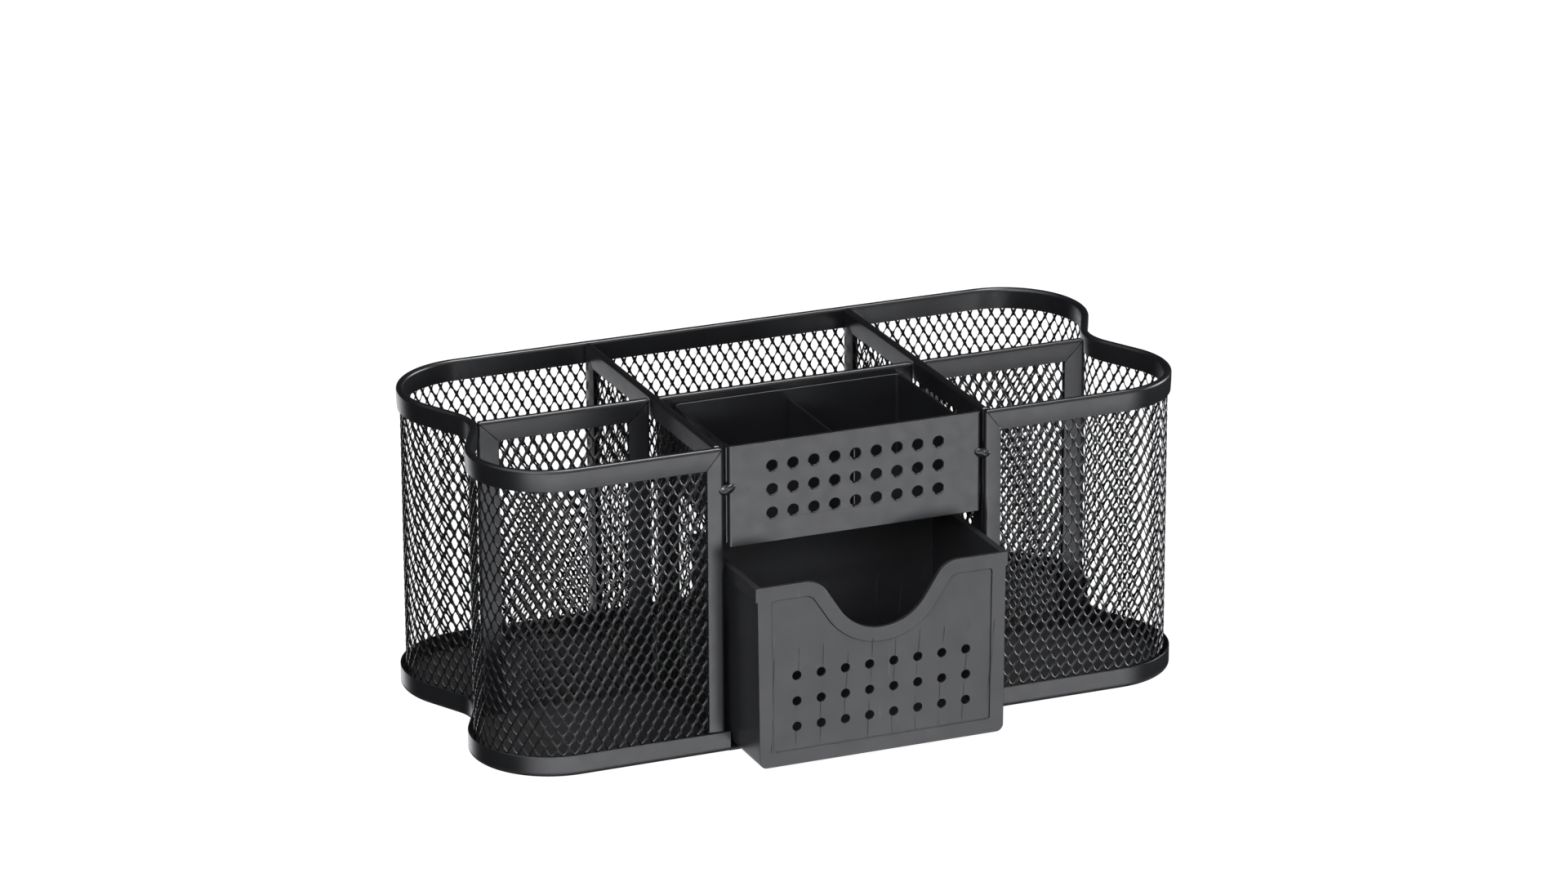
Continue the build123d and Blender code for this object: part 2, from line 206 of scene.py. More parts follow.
coatedSheet = powderCoat("coatedSheet", sheetCoat)
coatedMesh = powderCoat("coatedMesh", meshCoat)
matteDrawer = drawerPlastic("matteDrawer", plasticLook)
print("finishes made")


# pieces from mesh code

def addPiece(name, mesh, finish, node, body="frame", sharp=32.0, flatFirst=True):
    bmesh.ops.recalc_face_normals(mesh, faces=mesh.faces)
    data = bpy.data.meshes.new(name)
    mesh.to_mesh(data)
    mesh.free()
    data.materials.clear()
    data.materials.append(finish)
    data.shade_smooth()
    data.set_sharp_from_angle(angle=math.radians(sharp))
    piece = bpy.data.objects.new(name, data)
    bpy.context.collection.objects.link(piece)
    if flatFirst:                                      # flat faces stay flat beside their rolled edges
        modifier = piece.modifiers.new("flatFirst", "WEIGHTED_NORMAL")
        modifier.keep_sharp = True
        graph = bpy.context.evaluated_depsgraph_get()
        piece.data = bpy.data.meshes.new_from_object(piece.evaluated_get(graph))
        piece.modifiers.remove(modifier)
        piece.data.name = name
    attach(piece, body)
    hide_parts(node)
    return piece


def meshObject(name, mesh):
    data = bpy.data.meshes.new(name)
    mesh.to_mesh(data)
    mesh.free()
    result = bpy.data.objects.new(name, data)
    bpy.context.collection.objects.link(result)
    return result


def skinRings(mesh, rings, capped=True):
    loops = [[mesh.verts.new(point) for point in ring] for ring in rings]
    count = len(rings[0])
    for near, far in zip(loops, loops[1:]):
        for k in range(count):
            mesh.faces.new((near[k], near[(k + 1) % count], far[(k + 1) % count], far[k]))
    if capped:
        mesh.faces.new(loops[0])
        mesh.faces.new(loops[-1])


def roundCorner(mesh, corner, sideA, sideB, radius, keep=lambda point: True):
    limit = radius * 1.2                               # points a little outside the corner count too
    for vert in mesh.verts:                            # pulls what stands outside the arc back onto it
        off = vert.co - corner
        a, b = radius - off.dot(sideA), radius - off.dot(sideB)
        reach = math.hypot(a, b)
        if 0 < a <= limit and 0 < b <= limit and reach > radius and keep(vert.co):
            vert.co += sideA * (a - a * radius / reach) + sideB * (b - b * radius / reach)


# plan of the sides: a front and a back lobe with a waist between them

panLow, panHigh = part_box("base_pan")
plan = {"frontLobe": 26.0 * mm, "backLobe": 28.0 * mm, "waist": 16.0 * mm, "flankLean": math.radians(27.0),
        "lobeSteps": 30, "waistSteps": 12}


def planCorners(inset):
    slope = math.tan(plan["flankLean"])
    reach = slope + 1 / math.cos(plan["flankLean"]) - 1
    frontX = panHigh.x - inset + (plan["frontLobe"] - inset) * reach
    backX = panHigh.x - inset + (plan["backLobe"] - inset) * reach
    waistY = (frontX - backX) / (2 * slope)
    waistX = frontX - (waistY - panLow.y - inset) * slope
    front, back = Vector((frontX, panLow.y + inset)), Vector((backX, panHigh.y - inset))
    return [front, Vector((waistX, waistY)), back]


def roundedRun(corners, radii, steps):
    run = [corners[0]]
    for before, corner, after, radius, count in zip(corners, corners[1:], corners[2:], radii, steps):
        back, ahead = (before - corner).normalized(), (after - corner).normalized()
        half = back.angle(ahead) / 2
        middle = corner + (back + ahead).normalized() * radius / math.sin(half)
        arm = corner + back * radius / math.tan(half) - middle
        turn = math.copysign(math.pi - 2 * half, ahead.cross(back))
        for k in range(count + 1):
            run.append(middle + Matrix.Rotation(turn * k / count, 2) @ arm)
    run.append(corners[-1])
    return run


def planRun(inset, endX, stops=()):
    right = planCorners(inset)
    left = [Vector((-p.x, p.y)) for p in reversed(right)]
    radii = [plan["frontLobe"] - inset, plan["waist"] + inset, plan["backLobe"] - inset]
    steps = [plan["lobeSteps"], plan["waistSteps"], plan["lobeSteps"]]
    y = panLow.y + inset
    starts = [Vector((endX + stop, y)) for stop in stops]
    ends = [Vector((-endX - stop, y)) for stop in reversed(stops)]
    corners = [Vector((endX, y)), *right, *left, Vector((-endX, y))]
    run = roundedRun(corners, radii + radii[::-1], steps + steps[::-1])
    return [run[0], *starts, *run[1:-1], *ends, run[-1]]


def sweepPlan(mesh, profile, endAt, stops=()):         # profile points are (inset, height)
    runs = [planRun(inset, endAt(height), stops) for inset, height in profile]
    rings = [[Vector((p.x, p.y, z)) for p, (inset, z) in zip(ring, profile)] for ring in zip(*runs)]
    skinRings(mesh, rings)


# folded U strip of the rim, posts and frames

strip = {"width": 2.4 * mm, "sheet": 0.6 * mm, "fold": 1.1 * mm, "foldSteps": 7, "insideFold": 0.3 * mm,
         "ease": 0.15 * mm, "crown": 0.22 * mm, "crownStops": (1.0, 0.8, 0.6, 0.4, 0.2),
         "cornerRound": 1.5 * mm, "lap": 0.45 * mm, "mitreGap": 0.3 * mm,
         "stops": (0.4 * mm, 0.8 * mm, 1.3 * mm, 2.0 * mm)}


def channelProfile(leg):                               # points (across, depth), the fold at depth 0
    half, sheet, fold, ease = strip["width"] / 2, strip["sheet"], strip["fold"], strip["ease"]
    turns = [math.pi / 2 * k / strip["foldSteps"] for k in range(strip["foldSteps"] + 1)]
    bend = [(half - fold + fold * math.cos(t), fold - fold * math.sin(t)) for t in turns]
    lean = [(half - strip["crown"] * t * t, fold + (leg - ease - fold) * t)
            for t in strip["crownStops"]]              # the legs turn in towards their tips
    outside = [(half - ease - strip["crown"], leg), *lean, *bend]
    inside = [(half - sheet - strip["insideFold"], sheet), (half - sheet, sheet + strip["insideFold"]),
              (half - sheet, leg - ease), (half - sheet + ease, leg)]
    otherOutside = [(-across, depth) for across, depth in reversed(outside)]
    otherInside = [(-across, depth) for across, depth in reversed(inside)]
    return outside + otherOutside, otherInside + inside


def channelStrip(mesh, origin, along, inward, across, length, leg, cutStart, cutEnd, lap):
    outside, inside = channelProfile(leg)
    points = [(side, depth, depth) for side, depth in outside]
    points += [(side, depth, depth + lap) for side, depth in inside]        # the insides lap at a mitre
    rings = []
    for stop in (0, *strip["stops"]):
        rings.append([(cutStart * cut + stop, side, depth) for side, depth, cut in points])
    for stop in (*reversed(strip["stops"]), 0):
        rings.append([(length - cutEnd * cut - stop, side, depth) for side, depth, cut in points])

    def placed(s, side, depth):
        return origin + along * s + across * side + inward * depth

    skinRings(mesh, [[placed(*point) for point in ring] for ring in rings])


rimLow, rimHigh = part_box("rim_band")
postLow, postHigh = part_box("right_front_post")
wallInset = panHigh.x - rimHigh.x + strip["width"] / 2
postWidth = postHigh.x - postLow.x
rimLeg = rimHigh.z - rimLow.z


def bayCorner(side):
    return Vector((side * postLow.x, 0, rimHigh.z))


def isInFront(point):
    return point.y < 0


def rimEnd(z):                                         # mitred to the posts
    return postLow.x + strip["mitreGap"] + postWidth * (rimHigh.z - z) / rimLeg


mesh = bmesh.new()
outside, inside = channelProfile(rimLeg)
rimProfile = [(wallInset - across, rimHigh.z - depth) for across, depth in outside + inside]
sweepPlan(mesh, rimProfile, rimEnd, strip["stops"])
for side in (1, -1):
    roundCorner(mesh, bayCorner(side), side * alongX, -up, strip["cornerRound"], isInFront)
addPiece("rimBand", mesh, coatedSheet, "rim_band")

for node, side in (("right_front_post", 1), ("left_front_post", -1)):
    mesh = bmesh.new()
    origin = Vector((side * postLow.x, (postLow.y + postHigh.y) / 2, postLow.z))
    length = postHigh.z - postLow.z
    channelStrip(mesh, origin, up, side * alongX, alongY, length, postWidth, 0, rimLeg / postWidth, 0)
    roundCorner(mesh, bayCorner(side), side * alongX, -up, strip["cornerRound"])
    addPiece(node.split("_")[0] + "FrontPost", mesh, coatedSheet, node)
print("rim and posts folded")


# expanded mesh, one bond where four strands meet, repeated over the sheet and bent along its path

cells = {"width": 3.7 * mm, "height": 6.4 * mm, "openWide": 0.725, "openTall": 0.69, "cornerWide": 0.578,
         "cornerTall": 0.64, "lip": 0.527, "spine": 0.6, "back": -0.30 * mm, "rear": -0.40 * mm,
         "ridgeOut": -0.068 * mm, "lowOut": 0.10 * mm, "footOut": 0.10 * mm,
         "notchOut": -0.068 * mm, "notchDrop": 0.50 * mm, "join": 0.01 * mm,
         "crease": (0.10 * mm, 0.01 * mm, 0.30 * mm),  # each of these three is inset, out and rise
         "flankFront": (0.35 * mm, 0.0, -0.40 * mm), "flankBack": (0.0, -0.21 * mm, -0.10 * mm)}


def bondObject(halfWide, halfTall):                    # each strand's upper edge has a lip that turns back
    openWide, openTall = halfWide * cells["openWide"], halfTall * cells["openTall"]
    edgeX, edgeZ = openWide * cells["cornerWide"], openTall * cells["cornerTall"]
    topZ, flankX = halfTall - openTall, halfWide - openWide
    mesh = bmesh.new()
    notch = mesh.verts.new((0, cells["back"], topZ))
    notchFront = mesh.verts.new((0, cells["notchOut"], topZ - cells["notchDrop"]))
    foot = mesh.verts.new((0, cells["footOut"], -topZ))
    rear = mesh.verts.new((0, cells["rear"], 0))
    fronts = []
    for side in (1, -1):
        flank = [cells[key] for key in ("crease", "flankFront", "flankBack")]
        points = [(side * (flankX - inset), out, rise) for inset, out, rise in flank]
        crease, front, back = [mesh.verts.new(point) for point in points]
        fronts.append(front)
        for isUpper in (True, False):
            if isUpper:
                upper = Vector((edgeX, cells["back"], halfTall - edgeZ))
                lower = Vector((halfWide - edgeX, cells["lowOut"], edgeZ))
            else:
                upper = Vector((halfWide - edgeX, cells["back"], -edgeZ))
                lower = Vector((edgeX, cells["lowOut"], edgeZ - halfTall))
            ridge, spine = upper.lerp(lower, cells["lip"]), upper.lerp(lower, cells["spine"])
            ridge.y, spine.y = cells["ridgeOut"], cells["rear"]
            strand = [mesh.verts.new((side * p.x, p.y, p.z)) for p in (upper, lower, ridge, spine)]
            upper, lower, ridge, spine = strand
            if isUpper:
                shapes = ((notchFront, notch, upper, ridge), (notchFront, ridge, lower, crease),
                          (notchFront, crease, front), (crease, back, front), (crease, lower, back),
                          (notch, rear, spine, upper), (rear, back, lower, spine))
            else:
                shapes = ((front, back, upper, ridge), (front, ridge, lower, foot),
                          (back, rear, spine, upper), (rear, foot, lower, spine))
            for shape in shapes:
                mesh.faces.new(shape)
    mesh.faces.new((notchFront, fronts[0], foot, fronts[1]))
    bmesh.ops.recalc_face_normals(mesh, faces=mesh.faces)
    return meshObject("strandBond", mesh)


def pathObject(points, closed=False):
    curve = bpy.data.curves.new("sheetPath", "CURVE")
    curve.dimensions = "3D"
    spline = curve.splines.new("POLY")
    spline.points.add(len(points) - 1)
    for point, place in zip(spline.points, points):
        point.co = (*place, 1)
    spline.use_cyclic_u = closed
    path = bpy.data.objects.new("sheetPath", curve)
    bpy.context.collection.objects.link(path)
    return path


def startTree(name, sockets):
    tree = bpy.data.node_groups.new(name, "GeometryNodeTree")
    keys = {}
    for label, kind in sockets.items():
        socket = tree.interface.new_socket(name=label, in_out="INPUT", socket_type="NodeSocket" + kind)
        keys[label] = socket.identifier
    tree.interface.new_socket(name="Geometry", in_out="OUTPUT", socket_type="NodeSocketGeometry")
    return tree, keys, addStep(tree, "NodeGroupInput").outputs


def bakeTree(name, tree, keys, values):
    host = bpy.data.objects.new(name, bpy.data.meshes.new(name))
    bpy.context.collection.objects.link(host)
    modifier = host.modifiers.new(tree.name, "NODES")
    modifier.node_group = tree
    for label, value in values.items():
        modifier[keys[label]] = value
    graph = bpy.context.evaluated_depsgraph_get()
    data = bpy.data.meshes.new_from_object(host.evaluated_get(graph))
    host.modifiers.remove(modifier)
    bpy.data.objects.remove(host)
    for value in values.values():
        if isinstance(value, bpy.types.Object):
            bpy.data.objects.remove(value)
    mesh = bmesh.new()
    mesh.from_mesh(data)
    return mesh


def gridPoints(tree, columns, rows):                   # point count, and each point's column and row
    index = addStep(tree, "GeometryNodeInputIndex").outputs[0]
    row = calc(tree, "FLOOR", calc(tree, "DIVIDE", calc(tree, "ADD", index, 0.5), columns))
    column = calc(tree, "SUBTRACT", index, calc(tree, "MULTIPLY", row, columns))
    return calc(tree, "MULTIPLY", columns, rows), column, row


def repeatAt(tree, points, shape):
    copies = addStep(tree, "GeometryNodeInstanceOnPoints", {"Points": points, "Instance": shape}).outputs[0]
    return addStep(tree, "GeometryNodeRealizeInstances", {"Geometry": copies}).outputs[0]


def objectShape(tree, source):
    return addStep(tree, "GeometryNodeObjectInfo", {"Object": source}).outputs["Geometry"]


def expandedMeshTree():
    tree, keys, given = startTree("expandedMesh", {
        "Bond": "Object", "Path": "Object", "Columns": "Int", "Rows": "Int", "Half Width": "Float",
        "Half Height": "Float", "Low": "Float", "Coating": "Material"})
    count, column, row = gridPoints(tree, given["Columns"], given["Rows"])
    shifted = calc(tree, "ADD", calc(tree, "MULTIPLY", column, 2.0), calc(tree, "MODULO", row, 2.0))
    x = calc(tree, "MULTIPLY", calc(tree, "ADD", shifted, 0.5), given["Half Width"])
    lift = calc(tree, "MULTIPLY", calc(tree, "ADD", row, 0.5), given["Half Height"])
    z = calc(tree, "ADD", lift, given["Low"])
    spot = addStep(tree, "ShaderNodeCombineXYZ", {"X": x, "Z": z}).outputs[0]
    points = addStep(tree, "GeometryNodePoints", {"Count": count, "Position": spot}).outputs[0]
    sheet = repeatAt(tree, points, objectShape(tree, given["Bond"]))
    inputs = {"Geometry": sheet, "Distance": cells["join"]}
    sheet = addStep(tree, "GeometryNodeMergeByDistance", inputs).outputs[0]
    axes = splitVector(tree, addStep(tree, "GeometryNodeInputPosition").outputs[0])
    inputs = {"Curves": objectShape(tree, given["Path"]), "Length": axes["X"]}
    sample = addStep(tree, "GeometryNodeSampleCurve", inputs, mode="LENGTH").outputs
    outward = vectorCalc(tree, "CROSS_PRODUCT", {0: sample["Tangent"], 1: (0, 0, 1)})[0]
    shift = vectorCalc(tree, "SCALE", {0: outward, "Scale": axes["Y"]})[0]
    rise = addStep(tree, "ShaderNodeCombineXYZ", {"Z": axes["Z"]}).outputs[0]
    bent = vectorCalc(tree, "ADD", {0: sample["Position"], 1: shift})[0]
    bent = vectorCalc(tree, "ADD", {0: bent, 1: rise})[0]
    sheet = addStep(tree, "GeometryNodeSetPosition", {"Geometry": sheet, "Position": bent}).outputs[0]
    sheet = addStep(tree, "GeometryNodeRealizeInstances", {"Geometry": sheet}).outputs[0]
    inputs = {"Geometry": sheet, "Material": given["Coating"]}
    addStep(tree, "NodeGroupOutput", {0: addStep(tree, "GeometryNodeSetMaterial", inputs).outputs[0]})
    return tree, keys


meshTree, meshKeys = expandedMeshTree()


def dressMesh(name, node, points):
    low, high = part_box(node)
    length = sum((b - a).length for a, b in zip(points, points[1:]))
    columns, rows = round(length / cells["width"]), round((high.z - low.z) * 2 / cells["height"])
    halfWide, halfTall = length / (2 * columns), (high.z - low.z) / rows
    mesh = bakeTree(name, meshTree, meshKeys, {
        "Bond": bondObject(halfWide, halfTall), "Path": pathObject([(p.x, p.y, 0) for p in points]),
        "Columns": columns, "Rows": rows, "Half Width": halfWide, "Half Height": halfTall, "Low": low.z,
        "Coating": coatedMesh})
    bmesh.ops.holes_fill(mesh, edges=[edge for edge in mesh.edges if edge.is_boundary], sides=4)
    piece = addPiece(name, mesh, coatedMesh, node, sharp=24.0, flatFirst=False)
    print(name, columns, "columns", rows, "rows", len(piece.data.polygons), "faces")


dressMesh("wallMesh", "wall_mesh", planRun(wallInset, postLow.x + strip["sheet"]))


# flat panels: the cups' inner walls and the cross panels

def dressPanel(prefix, name, stiles):
    low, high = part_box(prefix + "_rail")
    size = high - low
    along, across = (alongX, alongY) if size.x > size.y else (alongY, alongX)
    middle = (low + high) / 2
    length, leg = size.dot(along), size.z
    ends = [middle - along * length / 2, middle + along * length / 2]
    corners = [(Vector((*end.xy, high.z)), inward) for end, inward in zip(ends, (along, -along))]
    rail = bmesh.new()
    channelStrip(rail, corners[0][0], along, -up, across, length, leg, 1, 1, -strip["lap"])
    for corner, inward in corners:
        roundCorner(rail, corner, inward, -up, strip["cornerRound"])
    addPiece(name + "Rail", rail, coatedSheet, prefix + "_rail")
    for stile in stiles:
        stileLow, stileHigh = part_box(prefix + "_" + stile)
        stileMiddle = (stileLow + stileHigh) / 2
        corner, inward = min(corners, key=lambda pair: (pair[0] - stileMiddle).xy.length)
        upright = bmesh.new()
        foot = Vector((*corner.xy, stileLow.z))
        channelStrip(upright, foot, up, inward, across, stileHigh.z - stileLow.z, leg, 0, 1, strip["lap"])
        roundCorner(upright, corner, inward, -up, strip["cornerRound"])
        ending = "".join(word.capitalize() for word in stile.split("_"))
        addPiece(name + ending, upright, coatedSheet, prefix + "_" + stile)
    meshLow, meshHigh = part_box(prefix + "_mesh")
    reach = along * (meshHigh - meshLow).dot(along) / 2
    dressMesh(name + "Mesh", prefix + "_mesh", [(middle - reach).xy, (middle + reach).xy])


for side in ("right", "left"):
    dressPanel(side + "_divider", side + "Divider", ("front_stile", "rear_stile"))
    dressPanel(side + "_cross", side + "Cross", ("inner_stile", "outer_stile"))
dressPanel("middle_cross", "middleCross", ("left_stile", "right_stile"))
print("panels framed")


# base pan: a floor sheet turned up into a band, open in front of the drawer

pan = {"floor": 0.8 * mm, "sheet": 0.6 * mm, "bend": 1.2 * mm, "bendSteps": 6, "innerBend": 0.5 * mm,
       "innerSteps": 4, "lip": 0.22 * mm, "lipSteps": 3, "bandEnd": 42.7 * mm, "bayEdge": 0.7 * mm}


def arcPoints(centre, radius, start, end, steps):
    angles = [math.radians(start + (end - start) * k / steps) for k in range(steps + 1)]
    return [(centre[0] + radius * math.cos(a), centre[1] + radius * math.sin(a)) for a in angles]


innerInset, innerZ = pan["sheet"] + pan["innerBend"], pan["floor"] + pan["innerBend"]
lipZ = panHigh.z - pan["lip"]
bandProfile = arcPoints((pan["bend"], pan["bend"]), pan["bend"], 270, 180, pan["bendSteps"])
bandProfile += arcPoints((pan["lip"], lipZ), pan["lip"], 180, 90, pan["lipSteps"])
bandProfile += arcPoints((pan["sheet"] - pan["lip"], lipZ), pan["lip"], 90, 0, pan["lipSteps"])
bandProfile += arcPoints((innerInset, innerZ), pan["innerBend"], 180, 270, pan["innerSteps"])
bandProfile.append((pan["bend"], pan["floor"]))
mesh = bmesh.new()
sweepPlan(mesh, bandProfile, lambda z: pan["bandEnd"])
edge = planRun(pan["bend"], pan["bandEnd"])
edge += [Vector((side * pan["bandEnd"], panLow.y + pan["bayEdge"])) for side in (-1, 1)]
skinRings(mesh, [[Vector((p.x, p.y, z)) for p in edge] for z in (panLow.z, pan["floor"])])
addPiece("basePan", mesh, coatedSheet, "base_pan")
print("base pan pressed")


# punched fronts and moulded edges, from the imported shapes

softEdge = {"corner": math.radians(35), "flat": math.radians(0.5), "segments": 3}


def mergedCopy(node):
    mesh = bmesh.new()
    mesh.from_mesh(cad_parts[node].data)
    bmesh.ops.remove_doubles(mesh, verts=mesh.verts, dist=samePlace)
    return mesh


def isCorner(edge):
    return len(edge.link_faces) == 2 and edge.calc_face_angle() > softEdge["corner"]


def soften(mesh, width):
    bmesh.ops.dissolve_limit(mesh, angle_limit=softEdge["flat"], verts=mesh.verts, edges=mesh.edges)
    edges = [edge for edge in mesh.edges if isCorner(edge)]
    bmesh.ops.bevel(mesh, geom=edges, offset=width, offset_type="OFFSET", segments=softEdge["segments"],
                    profile=0.5, affect="EDGES", clamp_overlap=False)
    bmesh.ops.remove_doubles(mesh, verts=mesh.verts, dist=samePlace)


def punchedPlateTree():
    tree, keys, given = startTree("punchedPlate", {
        "Front Outline": "Object", "Back Outline": "Object", "Eye": "Object", "Columns": "Int",
        "Rows": "Int", "Pitch X": "Float", "Pitch Z": "Float", "Middle Z": "Float",
        "Rim Radius": "Float", "Sides": "Int", "Thickness": "Float", "Coating": "Material"})
    count, column, row = gridPoints(tree, given["Columns"], given["Rows"])

    def centred(number, total, pitch):
        half = calc(tree, "MULTIPLY", calc(tree, "SUBTRACT", total, 1.0), 0.5)
        return calc(tree, "MULTIPLY", calc(tree, "SUBTRACT", number, half), pitch)

    x = centred(column, given["Columns"], given["Pitch X"])
    y = calc(tree, "ADD", centred(row, given["Rows"], given["Pitch Z"]), given["Middle Z"])
    spot = addStep(tree, "ShaderNodeCombineXYZ", {"X": x, "Y": y}).outputs[0]
    points = addStep(tree, "GeometryNodePoints", {"Count": count, "Position": spot}).outputs[0]
    inputs = {"Resolution": given["Sides"], "Radius": given["Rim Radius"]}
    circle = addStep(tree, "GeometryNodeCurvePrimitiveCircle", inputs).outputs["Curve"]
    rims = repeatAt(tree, points, circle)

    def joined(*parts):
        join = addStep(tree, "GeometryNodeJoinGeometry")
        for part in parts:
            tree.links.new(part, join.inputs[0])
        return join.outputs[0]

    def filled(outline):
        curves = joined(objectShape(tree, given[outline]), rims)
        return addStep(tree, "GeometryNodeFillCurve", {"Curve": curves}).outputs[0]

    depth = calc(tree, "MULTIPLY", given["Thickness"], -1.0)
    deep = addStep(tree, "ShaderNodeCombineXYZ", {"Z": depth}).outputs[0]
    inputs = {"Geometry": filled("Back Outline"), "Offset": deep}
    back = addStep(tree, "GeometryNodeSetPosition", inputs).outputs[0]
    back = addStep(tree, "GeometryNodeFlipFaces", {"Mesh": back}).outputs[0]
    eyes = repeatAt(tree, points, objectShape(tree, given["Eye"]))
    inputs = {"Geometry": joined(filled("Front Outline"), back, eyes), "Distance": samePlace}
    plate = addStep(tree, "GeometryNodeMergeByDistance", inputs).outputs[0]
    plate = addStep(tree, "GeometryNodeRealizeInstances", {"Geometry": plate}).outputs[0]
    inputs = {"Geometry": plate, "Material": given["Coating"]}
    addStep(tree, "NodeGroupOutput", {0: addStep(tree, "GeometryNodeSetMaterial", inputs).outputs[0]})
    return tree, keys


plateTree, plateKeys = punchedPlateTree()
punch = {"rollSteps": 4, "straight": 0.1 * mm, "nearHole": 1.05, "faceOn": 0.99, "join": 0.003 * mm}


def eyeObject(holes, thick):                           # the lining of one hole, with rolled edges
    radius, roll, sides = holes["radius"], holes["roll"], holes["sides"]
    quarter = [math.pi / 2 * k / punch["rollSteps"] for k in range(punch["rollSteps"] + 1)]
    deep = min(roll, thick - roll - punch["straight"])  # the roll behind gets what is left
    profile = [(radius + roll - roll * math.sin(t), roll * math.cos(t) - roll) for t in quarter]
    profile += [(radius + roll - roll * math.cos(t), -thick + deep - deep * math.sin(t)) for t in quarter]
    turns = [2 * math.pi * k / sides for k in range(sides)]
    mesh = bmesh.new()
    rings = [[(r * math.cos(t), r * math.sin(t), z) for t in turns] for r, z in profile]
    skinRings(mesh, rings, capped=False)
    return meshObject("holeEye", mesh)


def isFlatAt(face, y, way):
    isFacing = face.normal.y * way > punch["faceOn"]
    return isFacing and all(abs(vert.co.y - y) < samePlace for vert in face.verts)


def largestFlat(mesh, y, way):
    return max((face for face in mesh.faces if isFlatAt(face, y, way)), key=lambda face: face.calc_area())


def unpunchedShape(node, holes, frontY, backY):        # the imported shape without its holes, edges softened
    mesh = mergedCopy(node)
    for vert in mesh.verts:
        if abs(vert.co.y - frontY) < samePlace:
            vert.co.y += holes["sink"]
    frontY += holes["sink"]
    columns, rows = holes["columns"], holes["rows"]
    placesX = [(c - (columns - 1) / 2) * holes["pitchX"] for c in range(columns)]
    placesZ = [(r - (rows - 1) / 2) * holes["pitchZ"] + holes["middleZ"] for r in range(rows)]
    near = holes["radius"] * punch["nearHole"]

    def isInHole(point):
        return any(math.hypot(point.x - x, point.z - z) < near for x in placesX for z in placesZ)

    gone = [face for face in mesh.faces if isFlatAt(face, frontY, -1) or isFlatAt(face, backY, 1)
            or all(isInHole(vert.co) for vert in face.verts)]
    bmesh.ops.delete(mesh, geom=gone, context="FACES")
    bmesh.ops.edgeloop_fill(mesh, edges=[edge for edge in mesh.edges if edge.is_boundary])
    bmesh.ops.recalc_face_normals(mesh, faces=mesh.faces)
    soften(mesh, holes["edge"])
    return mesh, frontY


def punchedPiece(name, node, holes, frontY, backY, finish, body):
    mesh, frontY = unpunchedShape(node, holes, frontY, backY)
    flats = [largestFlat(mesh, frontY, -1), largestFlat(mesh, backY, 1)]
    outlines = [pathObject([(vert.co.x, vert.co.z, 0) for vert in face.verts], True) for face in flats]
    bmesh.ops.delete(mesh, geom=flats, context="FACES_ONLY")
    thick = backY - frontY
    plate = bakeTree(name, plateTree, plateKeys, {
        "Front Outline": outlines[0], "Back Outline": outlines[1], "Eye": eyeObject(holes, thick),
        "Columns": holes["columns"], "Rows": holes["rows"], "Pitch X": holes["pitchX"],
        "Pitch Z": holes["pitchZ"], "Middle Z": holes["middleZ"], "Sides": holes["sides"],
        "Rim Radius": holes["radius"] + holes["roll"], "Thickness": thick, "Coating": finish})
    data = bpy.data.meshes.new(name + "Plate")
    for vert in plate.verts:                           # drawn flat, then stood up at the front
        vert.co = Vector((vert.co.x, frontY - vert.co.z, vert.co.y))
    plate.to_mesh(data)
    plate.free()
    mesh.from_mesh(data)
    bmesh.ops.remove_doubles(mesh, verts=mesh.verts, dist=punch["join"])
    print(name, len([edge for edge in mesh.edges if not edge.is_manifold]), "open edges")
    return addPiece(name, mesh, finish, node, body, sharp=28.0)


trayLow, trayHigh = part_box("tray_front")
trayHoles = {"columns": 9, "rows": 3, "pitchX": 7.0 * mm, "pitchZ": 7.7 * mm,
             "middleZ": trayHigh.z - 15.7 * mm, "radius": 1.68 * mm, "roll": 0.45 * mm, "sides": 32,
             "edge": 0.22 * mm, "sheet": 0.8 * mm, "sink": 0.0}
punchedPiece("trayFront", "tray_front", trayHoles, trayLow.y, trayLow.y + trayHoles["sheet"], coatedSheet,
             "frame")

trayHem = {"reach": 0.45 * mm, "root": 0.05 * mm, "half": 0.25 * mm, "behind": 1.9 * mm, "foot": 1.2 * mm,
           "head": 0.6 * mm, "steps": 8}               # folded edge on each turned-back end
mesh = bmesh.new()
turns = [math.pi * k / trayHem["steps"] for k in range(trayHem["steps"] + 1)]
for side in (1, -1):
    ring = [(side * (trayHigh.x - trayHem["root"] + trayHem["reach"] * math.sin(t)),
             trayLow.y + trayHem["behind"] - trayHem["half"] * math.cos(t)) for t in turns]
    heights = (trayLow.z + trayHem["foot"], trayHigh.z - trayHem["head"])
    skinRings(mesh, [[Vector((x, y, z)) for x, y in ring] for z in heights])
addPiece("trayHems", mesh, coatedSheet, "tray_front")

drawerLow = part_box("drawer")[0]
drawerHoles = {"columns": 8, "rows": 3, "pitchX": 8.15 * mm, "pitchZ": 8.45 * mm,
               "middleZ": drawerLow.z + 20.6 * mm, "radius": 1.5 * mm, "roll": 0.12 * mm, "sides": 32,
               "edge": 0.18 * mm, "wall": 1.6 * mm, "recess": 0.4 * mm, "sink": 0.3 * mm}
punchedPiece("drawerTub", "drawer", drawerHoles, drawerLow.y + drawerHoles["recess"],
             drawerLow.y + drawerHoles["wall"], matteDrawer, "drawer")

binEdges = {"tray_bin": ("trayBin", 0.25 * mm), "tray_divider": ("trayDivider", 0.39 * mm)}
for node, (name, width) in binEdges.items():
    mesh = mergedCopy(node)
    soften(mesh, width)
    addPiece(name, mesh, coatedSheet, node)
print("tray and drawer punched")


# tack welds: lumpy beads over the gap between tray front and posts, under the coat

